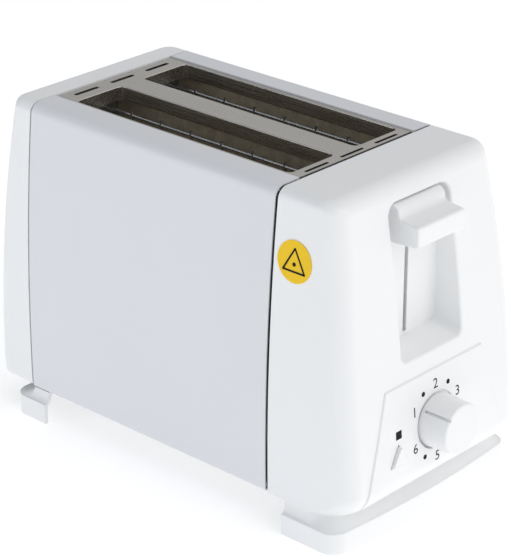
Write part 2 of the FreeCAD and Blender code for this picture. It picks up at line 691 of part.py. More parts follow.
def make_rod_bracket(z0):
    plate = box(-32.0, 32.0, BRACKET_FRONT_Y, FRONT_PLATE_Y, z0, z0 + BRACKET_THICK)
    if z0 > 100:
        plate = box(-32.0, 32.0, ROD_Y - 6, FRONT_PLATE_Y, z0, z0 + BRACKET_THICK)
    for side in (-1, 1):
        plate = plate.cut(rod(side * ROD_X, ROD_Y, z0 - 1, z0 + BRACKET_THICK + 1, ROD_RADIUS + 0.02))
    return plate


def make_guide_rod(side):
    return rod(side * ROD_X, ROD_Y, BRACKET_TOP_Z - BRACKET_THICK, ROD_TOP_Z + BRACKET_THICK, ROD_RADIUS)


def make_lift_spring():
    """Compression coil round the left guide rod, as a ruled skin over hexagonal wire sections."""
    low = BRACKET_TOP_Z + SPRING_WIRE_RADIUS
    high = BUSH_BOTTOM_Z - SPRING_WIRE_RADIUS
    steps = SPRING_TURNS * SPRING_STEPS
    sections = []
    for step in range(steps + 1):
        turn = 2 * math.pi * step / SPRING_STEPS
        outward = V(math.cos(turn), math.sin(turn), 0)
        centre = V(-ROD_X, ROD_Y, low + (high - low) * step / steps) + outward * SPRING_MEAN_RADIUS
        rise = (high - low) / (2 * math.pi * SPRING_MEAN_RADIUS * SPRING_TURNS)
        along_wire = V(-math.sin(turn), math.cos(turn), rise).normalize()
        up = along_wire.cross(outward) * -1
        ring = []
        for corner in range(7):
            angle = math.pi * corner / 3
            ring.append(centre + outward * (SPRING_WIRE_RADIUS * math.cos(angle))
                        + up * (SPRING_WIRE_RADIUS * math.sin(angle)))
        sections.append(Part.makePolygon(ring))
    return Part.makeLoft(sections, True, True)


def make_rod_bush(side):
    x = side * ROD_X
    block = rounded_box(x - 6, x + 6, ROD_Y - 6, CARRIAGE_Y, BUSH_BOTTOM_Z, BUSH_TOP_Z, 1.5, 2)
    return block.cut(rod(x, ROD_Y, BUSH_BOTTOM_Z - 1, BUSH_TOP_Z + 1, ROD_RADIUS + 0.08))


def make_carriage_plate():
    return rounded_box(-31.0, 31.0, CARRIAGE_Y, CARRIAGE_Y + 1.0, 67.0, 100.0, 2.0, 1)


def make_lever_arm():
    """Upright strip that carries the lever out through the slot in the recess."""
    outline = [
        (CARRIAGE_Y, 82.0), (CARRIAGE_Y, 99.0), (-74.5, 112.0), (-74.5, 143.0), (-88.5, 143.0),
        (-88.5, 134.5), (-80.5, 134.5), (-80.5, 106.0),
    ]
    return prism_x(outline, -0.6, 0.6)


def make_lever_knob():
    """Upright back with a finger lip along its lower half."""
    outline = [
        (KNOB_STEP_Y, LEVER_BOTTOM_Z), (LEVER_BACK_Y, LEVER_BOTTOM_Z), (LEVER_BACK_Y, LEVER_TOP_Z),
        (KNOB_STEP_Y, LEVER_TOP_Z), (KNOB_STEP_Y, LIP_TOP_Z + 0.6), (LEVER_TIP_Y, LIP_TOP_Z - 0.6),
        (LEVER_TIP_Y, LEVER_BOTTOM_Z + 0.8),
    ]
    knob = prism_x(outline, -LEVER_HALF, LEVER_HALF)
    crown = edges_where(knob, lambda e: along(e, 0) and e.BoundBox.ZMin > LEVER_TOP_Z - 0.1
                        and e.BoundBox.YMax < KNOB_STEP_Y + 0.1)
    knob = knob.makeFillet(4.0, crown)
    hollow_line = edges_where(knob, lambda e: along(e, 0) and abs(e.BoundBox.YMin - KNOB_STEP_Y) < 0.05
                              and LIP_TOP_Z < e.BoundBox.ZMin < LIP_TOP_Z + 2)
    knob = knob.makeFillet(2.0, hollow_line)
    tip = edges_where(knob, lambda e: along(e, 0) and e.BoundBox.YMax < LEVER_TIP_Y + 0.1)
    knob = knob.makeFillet(1.4, tip)
    ends = edges_where(knob, lambda e: e.BoundBox.XLength < 0.01 and e.BoundBox.YMin < LEVER_BACK_Y - 0.1)
    knob = knob.makeFillet(0.8, ends)
    pocket = box(-0.65, 0.65, -88.6, LEVER_BACK_Y + 1, 134.4, 143.1)
    return knob.cut(pocket)


def make_bread_rack(side):
    """Strip that runs the length of the slot, with cross rests that the bread stands on."""
    x = side * RACK_X
    front_y = CARRIAGE_Y + 1.0
    strip = box(x - 0.5, x + 0.5, front_y, REAR_PLATE_Y - 1.0, 68.0, RACK_TOP_Z - 1.0)
    tail = box(x - 0.5, x + 0.5, REAR_PLATE_Y - 2.0, REAR_PLATE_Y + 3.0, 69.0, 75.0)
    rests = []
    count = 8
    pitch = (SLOT_REAR_Y - SLOT_FRONT_Y - 14.0) / (count - 1)
    for number in range(count):
        y = SLOT_FRONT_Y + 7.0 + number * pitch
        rests.append(box(x - 8.0, x + 8.0, y - 1.5, y + 1.5, RACK_TOP_Z - 1.0, RACK_TOP_Z))
        rests.append(box(x - 8.0, x + 8.0, y - 0.5, y + 0.5, RACK_TOP_Z - 4.0, RACK_TOP_Z - 1.0))
    return fuse(strip, tail, *rests)


MAGNET_X = 10.5
MAGNET_TOP_Z = 44.0


def make_magnet_core():
    base = box(MAGNET_X - 6.5, MAGNET_X + 6.5, -75.0, -65.5, BRACKET_TOP_Z, BRACKET_TOP_Z + 4)
    legs = [box(MAGNET_X + x - 1.25, MAGNET_X + x + 1.25, -75.0, -65.5, BRACKET_TOP_Z + 4, MAGNET_TOP_Z)
            for x in (-5.25, 5.25)]
    middle = box(MAGNET_X - 1.5, MAGNET_X + 1.5, -73.0, -67.5, BRACKET_TOP_Z + 4, MAGNET_TOP_Z)
    return fuse(base, middle, *legs)


def make_magnet_coil():
    coil = rounded_box(MAGNET_X - 3.8, MAGNET_X + 3.8, -76.0, -64.5, BRACKET_TOP_Z + 4.4, MAGNET_TOP_Z - 3,
                       1.2, 2)
    return coil.cut(box(MAGNET_X - 1.6, MAGNET_X + 1.6, -73.1, -67.4, BRACKET_TOP_Z, MAGNET_TOP_Z))


def make_armature_plate():
    low = MAGNET_TOP_Z + TRAVEL + 0.4
    return box(MAGNET_X - 6.5, MAGNET_X + 6.5, -76.0, CARRIAGE_Y, low, low + 2.5)


def make_contact_bar():
    low = 80.0
    return box(-15.5, -6.5, -74.0, CARRIAGE_Y, low, low + 1.0)


def make_contact_block():
    return rounded_box(-16.5, -5.5, -76.0, -62.0, BRACKET_TOP_Z, 33.0, 1.0, 2)


# ---------------------------------------------------------------- controls

def make_control_board():
    board = box(-35.0, 25.0, BOARD_Y, BOARD_Y + BOARD_THICK, 22.0, 67.0)
    for x, z in BOARD_POSTS:
        board = board.cut(rod_y(x, z, BOARD_Y - 1, BOARD_Y + 3, 1.45))
    return board


def make_potentiometer():
    body = rod_y(0, KNOB_Z, -96.0, BOARD_Y, 8.0)
    return body.cut(rod_y(0, KNOB_Z, -97.0, -91.0, SHAFT_RADIUS + 0.05))


def make_dial_shaft():
    return rod_y(0, KNOB_Z, KNOB_FRONT_Y + 6.0, -91.2, SHAFT_RADIUS)


def make_browning_knob():
    radius_front = KNOB_RADIUS - 0.4
    length = KNOB_BACK_Y - KNOB_FRONT_Y
    body = Part.makeCone(radius_front, KNOB_RADIUS, length, V(0, KNOB_FRONT_Y, KNOB_Z), V(0, 1, 0))
    front_edge = edges_where(body, lambda e: e.BoundBox.YMax < KNOB_FRONT_Y + 0.1)
    body = body.makeFillet(1.0, front_edge)
    body = body.cut(rod_y(0, KNOB_Z, KNOB_FRONT_Y + 6.0, KNOB_BACK_Y + 1, SHAFT_RADIUS + 0.02))
    groove = box(KNOB_RADIUS - 1.3, KNOB_RADIUS + 1, KNOB_FRONT_Y - 1, KNOB_BACK_Y - 1.5, -0.55, 0.55)
    groove.rotate(V(0, 0, 0), V(0, 1, 0), -POINTER_DEG)
    groove.translate(V(0, 0, KNOB_Z))
    return body.cut(groove)


def make_stop_button():
    front = face_y(STOP_BOTTOM_Z) - PAD_RAISE - STOP_PROUD
    inner_wall = face_y(STOP_TOP_Z + 4.0) + CAP_WALL
    head = prism_y(stop_outline(0.0), front, inner_wall + 0.2)
    ends = edges_where(head, lambda e: along(e, 1))
    head = head.makeFillet(0.5, ends)
    flange = prism_y(stop_outline(1.4), inner_wall + 0.2, inner_wall + 1.4)
    stem = rod_y(STOP_X, STOP_BOTTOM_Z + 3.5, inner_wall + 1.4, -95.0, 1.6)
    return fuse(head, flange, stem)


def make_stop_switch():
    z = STOP_BOTTOM_Z + 3.5
    return rounded_box(STOP_X - 3, STOP_X + 3, -93.2, BOARD_Y, z - 3, z + 3, 0.5, 1)


def make_capacitor():
    return rod_y(15.0, 52.0, -99.0, BOARD_Y, 4.0)


def make_resistors():
    bodies = [rod(x, BOARD_Y - 1.3, 26.0, 33.0, 1.25) for x in (-14.0, -10.0, 10.0, 14.0)]
    return Part.makeCompound(bodies)


def make_control_chip():
    return box(-24.0, -16.0, BOARD_Y - 2.2, BOARD_Y, 50.0, 60.0)


def make_board_screws():
    screws = []
    for x, z in BOARD_POSTS:
        shank = rod_y(x, z, BOARD_Y - 6, BOARD_Y + BOARD_THICK, 1.25)
        head = rod_y(x, z, BOARD_Y + BOARD_THICK, BOARD_Y + BOARD_THICK + 1.6, 2.6)
        screws.append(fuse(shank, head))
    return Part.makeCompound(screws)


def make_base_screws():
    screws = []
    for x, y in FRONT_BOSSES + REAR_BOSSES:
        shank = rod(x, y, BASE_BOTTOM_Z, BASE_TOP_Z + 8, SCREW_RADIUS)
        head = rod(x, y, BASE_BOTTOM_Z - 1.8, BASE_BOTTOM_Z, 2.6)
        screws.append(fuse(shank, head))
    return Part.makeCompound(screws)


def make_terminal_block():
    block = rounded_box(20.0, 40.0, 95.0, 105.0, BASE_TOP_Z, BASE_TOP_Z + 10.0, 1.0, 2)
    for x in (25.0, 35.0):
        block = block.cut(rod(x, 100.0, BASE_TOP_Z + 5.0, BASE_TOP_Z + 11.0, 2.0))
    return block


def make_sticker():
    """Thin round label on the left flank of the front cap, set at the flank's lean."""
    z = 128.0
    lean = math.degrees(math.atan((z - BULGE_Z) / SIDE_RADIUS))
    disc = Part.makeCylinder(9.4, 0.2, V(0, 0, 0), V(-1, 0, 0))
    disc.rotate(V(0, 0, 0), V(0, 1, 0), lean)
    disc.translate(V(-side_x(z) - 0.09, -68.9, z))
    return disc


# ---------------------------------------------------------------- feet and tray

def foot_section(z, outer_x, back_y, corner, inner_x, front_y):
    """Plan outline of the right rear foot at height z, rounded at its outer back corner."""
    mid = corner * (1 - math.sqrt(0.5))
    pieces = [
        Part.LineSegment(V(inner_x, front_y, z), V(outer_x, front_y, z)),
        Part.LineSegment(V(outer_x, front_y, z), V(outer_x, back_y - corner, z)),
        Part.Arc(V(outer_x, back_y - corner, z), V(outer_x - mid, back_y - mid, z),
                 V(outer_x - corner, back_y, z)),
        Part.LineSegment(V(outer_x - corner, back_y, z), V(inner_x, back_y, z)),
        Part.LineSegment(V(inner_x, back_y, z), V(inner_x, front_y, z)),
    ]
    return Part.Wire([piece.toShape() for piece in pieces])


def foot_solid(wall, inner_x, front_y, bottom):
    """The right rear foot's form, flared outwards and backwards, moved inwards by wall."""
    neck_x = side_x(BODY_BOTTOM)
    drop = BODY_BOTTOM - FLARE_BOTTOM_Z
    wires = []
    for degrees in (80, 65, 50, 35, 18, 0):
        angle = math.radians(degrees)
        grow = 1 - math.cos(angle)
        side = wall * math.cos(angle)
        outer_x = neck_x + (SKIRT_HALF_WIDTH - neck_x) * grow - side
        back_y = FOOT_NECK_BACK_Y + (FOOT_BACK_Y - FOOT_NECK_BACK_Y) * grow - side
        corner = FOOT_NECK_CORNER + (SKIRT_CORNER - FOOT_NECK_CORNER) * grow
        z = BODY_BOTTOM - drop * math.sin(angle) - wall * math.sin(angle)
        wires.append(foot_section(z, min(outer_x, SKIRT_HALF_WIDTH - wall), min(back_y, FOOT_BACK_Y - wall),
                                  corner, inner_x, front_y))
    flare = loft(wires)
    low_top = flare.BoundBox.ZMin
    base = foot_section(bottom, SKIRT_HALF_WIDTH - wall, FOOT_BACK_Y - wall, SKIRT_CORNER - wall,
                        inner_x, front_y)
    return fuse(flare, Part.Face(base).extrude(V(0, 0, low_top - bottom)))


def make_rear_foot():
    outer = foot_solid(0.0, FOOT_INNER_X, FOOT_FRONT_Y, 0.0)
    inner = foot_solid(FOOT_WALL, FOOT_INNER_X - 1.0, FOOT_FRONT_Y - 1.0, -1.0)
    ceiling = box(0.0, SKIRT_HALF_WIDTH, FOOT_FRONT_Y - 2, FOOT_BACK_Y, BODY_BOTTOM - FOOT_WALL, HEIGHT)
    return outer.cut(inner.cut(ceiling))


def make_crumb_tray():
    outer = box(-TRAY_HALF, TRAY_HALF, TRAY_FRONT_Y, TRAY_REAR_Y, TRAY_BOTTOM_Z, TRAY_TOP_Z)
    inner = box(-TRAY_HALF + 0.6, TRAY_HALF - 0.6, TRAY_FRONT_Y + 0.6, TRAY_REAR_Y - 0.6, TRAY_BOTTOM_Z + 0.6,
                TRAY_TOP_Z + 1)
    return outer.cut(inner)


def make_tray_handle():
    grip = rounded_box(-22.0, 22.0, TRAY_REAR_Y, TRAY_REAR_Y + 8.0, TRAY_BOTTOM_Z - 1.0, TRAY_TOP_Z, 2.5, 2)
    return grip.cut(box(-17.0, 17.0, TRAY_REAR_Y + 2.0, TRAY_REAR_Y + 6.0, TRAY_BOTTOM_Z - 2.0,
                        TRAY_TOP_Z - 1.6))


# ---------------------------------------------------------------- assembly

def build():
    panel = make_side_panel()
    foot = make_rear_foot()
    nodes = {
        "front_cap": make_front_cap(),
        "rear_cap": make_rear_cap(),
        "right_side_panel": panel,
        "left_side_panel": mirror_x(panel),
        "top_plate": make_top_plate(),
        "front_end_plate": make_end_plate(FRONT_PLATE_Y),
        "rear_end_plate": make_end_plate(REAR_PLATE_Y),
        "base_plate": make_base_plate(),
        "right_rear_foot": foot,
        "left_rear_foot": mirror_x(foot),
        "lower_rod_bracket": make_rod_bracket(BRACKET_TOP_Z - BRACKET_THICK),
        "upper_rod_bracket": make_rod_bracket(ROD_TOP_Z),
        "lift_spring": make_lift_spring(),
        "carriage_plate": make_carriage_plate(),
        "lever_arm": make_lever_arm(),
        "lever_knob": make_lever_knob(),
        "magnet_core": make_magnet_core(),
        "magnet_coil": make_magnet_coil(),
        "armature_plate": make_armature_plate(),
        "contact_bar": make_contact_bar(),
        "contact_block": make_contact_block(),
        "control_board": make_control_board(),
        "timer_potentiometer": make_potentiometer(),
        "dial_shaft": make_dial_shaft(),
        "browning_knob": make_browning_knob(),
        "stop_button": make_stop_button(),
        "stop_switch": make_stop_switch(),
        "board_capacitor": make_capacitor(),
        "board_resistors": make_resistors(),
        "control_chip": make_control_chip(),
        "board_screws": make_board_screws(),
        "base_screws": make_base_screws(),
        "terminal_block": make_terminal_block(),
        "cord_gland": make_cord_gland(),
        "caution_sticker": make_sticker(),
        "crumb_tray": make_crumb_tray(),
        "tray_handle": make_tray_handle(),
    }
    for name, x in HEATER_X.items():
        nodes[name + "_heater_board"] = make_heater_board(x)
        nodes[name + "_heater_ribbon"] = make_heater_ribbon(x)
    for name, side in (("left", -1), ("right", 1)):
        nodes[name + "_reflector"] = make_reflector(side)
        nodes[name + "_tray_rail"] = make_tray_rail(side)
        nodes[name + "_guide_rod"] = make_guide_rod(side)
        nodes[name + "_rod_bush"] = make_rod_bush(side)
        nodes[name + "_bread_rack"] = make_bread_rack(side)
        nodes[name + "_inner_guard"] = make_guard_grid(side * 8.4)
        nodes[name + "_outer_guard"] = make_guard_grid(side * 34.2)
    return nodes


def main():
    os.makedirs("parts", exist_ok=True)
    for name, shape in build().items():
        state = "valid" if shape.isValid() else "NOT VALID"
        size = shape.BoundBox
        spans = [round(span, 1) for span in (size.XLength, size.YLength, size.ZLength)]
        print(name, state, len(shape.Solids), spans)
        shape.exportStep("parts/" + name + ".step")


main()
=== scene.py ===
"""Looks of the two-slice pop up toaster: materials, printing, spring, studio and camera.

Metres, +Z up, the control end faces -Y.
The pieces made here ride on the body housing; the moving parts are the carriage, dial, stop_key and
tray.
"""

import json
import math

import bpy
import bmesh
from mathutils import Matrix, Vector
from mathutils.bvhtree import BVHTree


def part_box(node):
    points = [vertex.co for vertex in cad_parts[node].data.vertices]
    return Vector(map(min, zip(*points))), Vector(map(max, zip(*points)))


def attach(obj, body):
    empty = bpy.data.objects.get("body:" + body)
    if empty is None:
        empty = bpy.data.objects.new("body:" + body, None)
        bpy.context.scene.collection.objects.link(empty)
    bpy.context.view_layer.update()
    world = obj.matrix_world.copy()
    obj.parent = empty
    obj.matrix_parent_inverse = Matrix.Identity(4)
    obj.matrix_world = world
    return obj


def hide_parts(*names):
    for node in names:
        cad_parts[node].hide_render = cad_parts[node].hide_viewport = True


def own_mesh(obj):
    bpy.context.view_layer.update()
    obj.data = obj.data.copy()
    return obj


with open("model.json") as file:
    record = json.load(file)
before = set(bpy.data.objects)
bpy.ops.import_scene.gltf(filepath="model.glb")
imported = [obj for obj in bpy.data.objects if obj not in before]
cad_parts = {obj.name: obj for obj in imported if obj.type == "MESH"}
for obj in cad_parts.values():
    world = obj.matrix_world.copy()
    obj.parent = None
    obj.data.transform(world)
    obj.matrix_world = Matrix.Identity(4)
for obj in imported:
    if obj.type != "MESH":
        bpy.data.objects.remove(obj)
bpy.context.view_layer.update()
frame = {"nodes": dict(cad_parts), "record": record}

MM = 0.001
NODES = frame["nodes"]


# ------------------------------------------------------------------ small helpers

def new_object(name, mesh, body, material):
    piece = bpy.data.objects.new(name, mesh)
    bpy.context.scene.collection.objects.link(piece)
    mesh.materials.clear()
    mesh.materials.append(material)
    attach(piece, body)
    return piece


def mesh_from(name, build):
    """A mesh made by build(bm) with its normals facing out."""
    bm = bmesh.new()
    build(bm)
    bmesh.ops.recalc_face_normals(bm, faces=bm.faces)
    mesh = bpy.data.meshes.new(name)
    bm.to_mesh(mesh)
    bm.free()
    return mesh


def add_prism(bm, corners, depth):
    """Closed slab between a flat polygon and the same polygon moved by the vector depth."""
    lower = [bm.verts.new(point) for point in corners]
    upper = [bm.verts.new(point + depth) for point in corners]
    bm.faces.new(upper)
    bm.faces.new(lower[::-1])
    for a in range(len(corners)):
        b = (a + 1) % len(corners)
        bm.faces.new([lower[a], lower[b], upper[b], upper[a]])


def add_frame(bm, outer, inner, depth):
    """Closed flat frame between an outer and an inner outline, as thick as the vector depth."""
    outer_low, outer_high, inner_low, inner_high = [
        [bm.verts.new(point + shift) for point in outline]
        for outline in (outer, inner)
        for shift in (Vector(), depth)
    ]
    for a in range(len(outer)):
        b = (a + 1) % len(outer)
        bm.faces.new([outer_high[a], outer_high[b], inner_high[b], inner_high[a]])
        bm.faces.new([outer_low[b], outer_low[a], inner_low[a], inner_low[b]])
        bm.faces.new([outer_low[a], outer_low[b], outer_high[b], outer_high[a]])
        bm.faces.new([inner_low[b], inner_low[a], inner_high[a], inner_high[b]])


# ------------------------------------------------------------------ materials

NOISE_LOW = 0.3     # most of a noise lies between these two
NOISE_HIGH = 0.7


class Surface:
    """A Principled material with room for the nodes that shape it."""

    def __init__(self, name, color, roughness, metallic=0.0, coat=0.0, coat_roughness=0.1, specular=0.5):
        self.material = bpy.data.materials.new(name)
        self.material.use_nodes = True
        self.nodes = self.material.node_tree.nodes
        self.links = self.material.node_tree.links
        self.shader = self.nodes["Principled BSDF"]
        self.color = color
        self.roughness = roughness
        self.shader.inputs["Base Color"].default_value = (*color, 1.0)
        self.shader.inputs["Roughness"].default_value = roughness
        self.shader.inputs["Metallic"].default_value = metallic
        self.shader.inputs["Coat Weight"].default_value = coat
        self.shader.inputs["Coat Roughness"].default_value = coat_roughness
        self.shader.inputs["Specular IOR Level"].default_value = specular
        self.place = self.nodes.new("ShaderNodeTexCoord").outputs["Object"]
        self.normal = None

    def stretched(self, scale):
        """Object coordinates scaled by (x, y, z), so that a pattern runs long along an axis."""
        mapping = self.nodes.new("ShaderNodeMapping")
        mapping.inputs["Scale"].default_value = scale
        self.links.new(self.place, mapping.inputs["Vector"])
        return mapping.outputs["Vector"]

    def noise(self, scale, detail=2.0, where=None, rough=0.5):
        noise = self.nodes.new("ShaderNodeTexNoise")
        noise.inputs["Scale"].default_value = scale
        noise.inputs["Detail"].default_value = detail
        noise.inputs["Roughness"].default_value = rough
        self.links.new(where or self.place, noise.inputs["Vector"])
        return noise.outputs["Fac"]

    def remap(self, value, low, high):
        node = self.nodes.new("ShaderNodeMapRange")
        node.inputs["From Min"].default_value = NOISE_LOW
        node.inputs["From Max"].default_value = NOISE_HIGH
        node.inputs["To Min"].default_value = low
        node.inputs["To Max"].default_value = high
        self.links.new(value, node.inputs["Value"])
        return node.outputs["Result"]

    def vary_color(self, value, darker, lighter=None):
        """Base colour runs between two tints with value."""
        mix = self.nodes.new("ShaderNodeMix")
        mix.data_type = "RGBA"
        mix.inputs["A"].default_value = (*darker, 1.0)
        mix.inputs["B"].default_value = (*(lighter or self.color), 1.0)
        self.links.new(self.remap(value, 0.0, 1.0), mix.inputs["Factor"])
        self.links.new(mix.outputs["Result"], self.shader.inputs["Base Color"])
        return self

    def vary_roughness(self, value, low, high):
        self.links.new(self.remap(value, low, high), self.shader.inputs["Roughness"])
        return self

    def soften(self, radius):
        """Rounds the look of sharp moulded edges."""
        bevel = self.nodes.new("ShaderNodeBevel")
        bevel.samples = 8
        bevel.inputs["Radius"].default_value = radius
        self.normal = bevel.outputs["Normal"]
        self.links.new(self.normal, self.shader.inputs["Normal"])
        return self

    def bump(self, value, strength, distance):
        bump = self.nodes.new("ShaderNodeBump")
        bump.inputs["Strength"].default_value = strength
        bump.inputs["Distance"].default_value = distance
        self.links.new(value, bump.inputs["Height"])
        if self.normal:
            self.links.new(self.normal, bump.inputs["Normal"])
        self.normal = bump.outputs["Normal"]
        self.links.new(self.normal, self.shader.inputs["Normal"])
        return self


def tint(color, factor):
    return tuple(min(1.0, channel * factor) for channel in color)


MOULDED_EDGE = 0.5 * MM


def moulded_white(name, color, roughness):
    """Smooth moulded plastic: soft edges, faint flow marks and a very fine mould texture."""
    surface = Surface(name, color, roughness)
    surface.soften(MOULDED_EDGE)
    surface.vary_color(surface.noise(14.0, detail=1.0), tint(color, 0.992))
    surface.vary_roughness(surface.noise(30.0, detail=1.0), roughness - 0.02, roughness + 0.02)
    surface.bump(surface.noise(500.0, detail=1.0), 0.02, 0.01 * MM)
    return surface.material


def painted_white(name, color):
    """Baked paint on folded steel: fine orange peel and a slight change of gloss."""
    surface = Surface(name, color, 0.36, coat=0.1, coat_roughness=0.2)
    surface.vary_color(surface.noise(9.0, detail=4.0), tint(color, 0.98))
    surface.vary_roughness(surface.noise(45.0, detail=3.0), 0.32, 0.42)
    surface.bump(surface.noise(1100.0, detail=2.0), 0.10, 0.03 * MM)
    return surface.material


def brushed_steel(name, color, roughness, grain, strength=0.25):
    """Sheet steel with long fine brush lines; grain scales the pattern along x, y and z."""
    surface = Surface(name, color, roughness, metallic=1.0)
    surface.shader.inputs["Anisotropic"].default_value = 0.35
    lines = surface.noise(1.0, detail=5.0, where=surface.stretched(grain), rough=0.65)
    surface.vary_color(lines, tint(color, 0.86))
    surface.vary_roughness(lines, roughness - 0.06, roughness + 0.12)
    surface.bump(lines, strength, 0.02 * MM)
    return surface.material


def plated_steel(name, color, roughness):
    """Plated sheet: faint spangle and dull patches."""
    surface = Surface(name, color, roughness, metallic=1.0)
    cells = surface.nodes.new("ShaderNodeTexVoronoi")
    cells.inputs["Scale"].default_value = 260.0
    surface.links.new(surface.place, cells.inputs["Vector"])
    surface.vary_color(surface.noise(70.0, detail=4.0), tint(color, 0.85))
    surface.vary_roughness(cells.outputs["Distance"], roughness - 0.05, roughness + 0.12)
    surface.bump(surface.noise(900.0), 0.08, 0.02 * MM)
    return surface.material


def drawn_wire(name, color, roughness):
    surface = Surface(name, color, roughness, metallic=1.0)
    marks = surface.noise(1.0, detail=3.0, where=surface.stretched((2200.0, 2200.0, 90.0)))
    surface.vary_color(marks, tint(color, 0.8))
    surface.vary_roughness(marks, roughness - 0.05, roughness + 0.1)
    surface.bump(marks, 0.15, 0.01 * MM)
    return surface.material


def mica(name, color):
    """Pressed mica: flaky mottling in layers."""
    surface = Surface(name, color, 0.45, specular=0.6)
    flakes = surface.noise(220.0, detail=6.0, rough=0.7)
    surface.vary_color(flakes, tint(color, 0.7), tint(color, 1.15))
    surface.vary_roughness(flakes, 0.3, 0.6)
    surface.bump(flakes, 0.25, 0.05 * MM)
    return surface.material


def heat_alloy(name, color):
    """Resistance ribbon, darkened by heat."""
    surface = Surface(name, color, 0.5, metallic=0.8)
    scale = surface.noise(180.0, detail=4.0)
    surface.vary_color(scale, (0.12, 0.09, 0.08), tint(color, 1.1))
    surface.vary_roughness(scale, 0.4, 0.65)
    surface.bump(scale, 0.1, 0.02 * MM)
    return surface.material


def iron(name, color):
    surface = Surface(name, color, 0.5, metallic=0.9)
    layers = surface.noise(1.0, detail=2.0, where=surface.stretched((1500.0, 40.0, 40.0)))
    surface.vary_color(layers, tint(color, 0.6))
    surface.vary_roughness(layers, 0.4, 0.6)
    surface.bump(layers, 0.3, 0.05 * MM)
    return surface.material


def winding(name, color):
    """Varnished copper wire wound in level turns."""
    surface = Surface(name, color, 0.3, metallic=0.9, coat=0.4)
    wave = surface.nodes.new("ShaderNodeTexWave")
    wave.bands_direction = "Z"
    wave.inputs["Scale"].default_value = 620.0
    wave.inputs["Distortion"].default_value = 0.4
    surface.links.new(surface.place, wave.inputs["Vector"])
    surface.vary_color(wave.outputs["Fac"], tint(color, 0.45))
    surface.bump(wave.outputs["Fac"], 0.6, 0.1 * MM)
    return surface.material


def plain_plastic(name, color, roughness):
    """Matte technical plastic with a fine spark texture."""
    surface = Surface(name, color, roughness)
    surface.vary_color(surface.noise(120.0, detail=3.0), tint(color, 0.8))
    surface.vary_roughness(surface.noise(300.0), roughness - 0.08, roughness + 0.08)
    surface.bump(surface.noise(1400.0, detail=2.0), 0.2, 0.03 * MM)
    return surface.material


def laminate(name, color):
    """Phenolic circuit board with a paper fibre grain."""
    surface = Surface(name, color, 0.42)
    fibres = surface.noise(1.0, detail=4.0, where=surface.stretched((140.0, 140.0, 500.0)))
    surface.vary_color(fibres, tint(color, 0.8))
    surface.vary_roughness(fibres, 0.36, 0.5)
    surface.bump(fibres, 0.1, 0.02 * MM)
    return surface.material


def printed_film(name, color):
    surface = Surface(name, color, 0.35, specular=0.3)
    surface.vary_color(surface.noise(160.0, detail=3.0), tint(color, 0.96))
    surface.vary_roughness(surface.noise(400.0), 0.26, 0.36)
    surface.bump(surface.noise(900.0), 0.03, 0.01 * MM)
    return surface.material


def ink(name, color):
    surface = Surface(name, color, 0.6, specular=0.15)
    surface.vary_color(surface.noise(900.0, detail=3.0), tint(color, 0.7), tint(color, 1.4))
    surface.vary_roughness(surface.noise(600.0), 0.42, 0.58)
    return surface.material


SLOT_MATERIALS = {
    "white_moulding": moulded_white("white_moulding", (0.925, 0.932, 0.935), 0.30),
    "white_controls": moulded_white("white_controls", (0.92, 0.925, 0.93), 0.26),
    "white_paint": painted_white("white_paint", (0.79, 0.80, 0.825)),
    # top_steel: brushed steel; its warm brown cast is a painted reflection of toast standing in the
    # slots, the steel itself being greyer
    "top_steel": brushed_steel("top_steel", (0.60, 0.57, 0.53), 0.26, (1500.0, 30.0, 1500.0)),
    "plated_steel": plated_steel("plated_steel", (0.62, 0.63, 0.64), 0.36),
    "wire_steel": drawn_wire("wire_steel", (0.66, 0.66, 0.67), 0.25),
    "spring_steel": drawn_wire("spring_steel", (0.42, 0.42, 0.44), 0.32),
    "mica_sheet": mica("mica_sheet", (0.50, 0.43, 0.31)),
    "heater_alloy": heat_alloy("heater_alloy", (0.34, 0.30, 0.28)),
    "magnet_iron": iron("magnet_iron", (0.28, 0.28, 0.29)),
    "coil_copper": winding("coil_copper", (0.62, 0.30, 0.16)),
    "contact_brass": drawn_wire("contact_brass", (0.72, 0.56, 0.28), 0.3),
    "black_moulding": plain_plastic("black_moulding", (0.03, 0.03, 0.034), 0.5),
    "board_laminate": laminate("board_laminate", (0.42, 0.28, 0.12)),
    "chip_black": plain_plastic("chip_black", (0.02, 0.02, 0.022), 0.4),
    "resistor_body": plain_plastic("resistor_body", (0.55, 0.42, 0.26), 0.45),
    "screw_steel": drawn_wire("screw_steel", (0.60, 0.60, 0.60), 0.3),
    "sticker_yellow": printed_film("sticker_yellow", (0.96, 0.62, 0.005)),
    "tray_metal": brushed_steel("tray_metal", (0.70, 0.70, 0.71), 0.36, (30.0, 1200.0, 1200.0), 0.15),
}
INK = ink("printing_ink", (0.008, 0.008, 0.009))


def dress_cad_nodes():
    """Each CAD node gets the procedural material of its record slot."""
    for entry in frame["record"]["subparts"]:
        node = NODES[entry["node"]]
        node.data.materials[0] = SLOT_MATERIALS[entry["material_slot"]]


# ------------------------------------------------------------------ printing

KNOB_CENTRE = Vector((0.0, 0.0, 45.6 * MM))
LABEL_RADIUS = 17.2 * MM
FIRST_LABEL_DEG = 150
LABEL_STEP_DEG = 60
LABEL_COUNT = 6
DIGIT_HEIGHT = 4.6 * MM
DOT_RADIUS = 1.15 * MM
DOT_SIDES = 28
STOP_MARK_CENTRE = Vector((-26.0 * MM, 0.0, 47.8 * MM))
STOP_MARK_HALF = 1.9 * MM
INK_DEPTH = 0.05 * MM
RAY_START_Y = -0.3

STICKER_LIFT = 0.16 * MM        # from the sticker's middle to the underside of its printing
STICKER_INK = 0.06 * MM
MARK_OUTER = 0.82               # sizes of the sticker's mark, as shares of the sticker's radius
MARK_OUTER_ROUND = 0.05
MARK_INNER = 0.64
MARK_INNER_ROUND = 0.02
MARK_DROP = 0.10
MARK_DOT = 0.10
MARK_DOT_DROP = 0.12
MARK_DOT_SIDES = 24

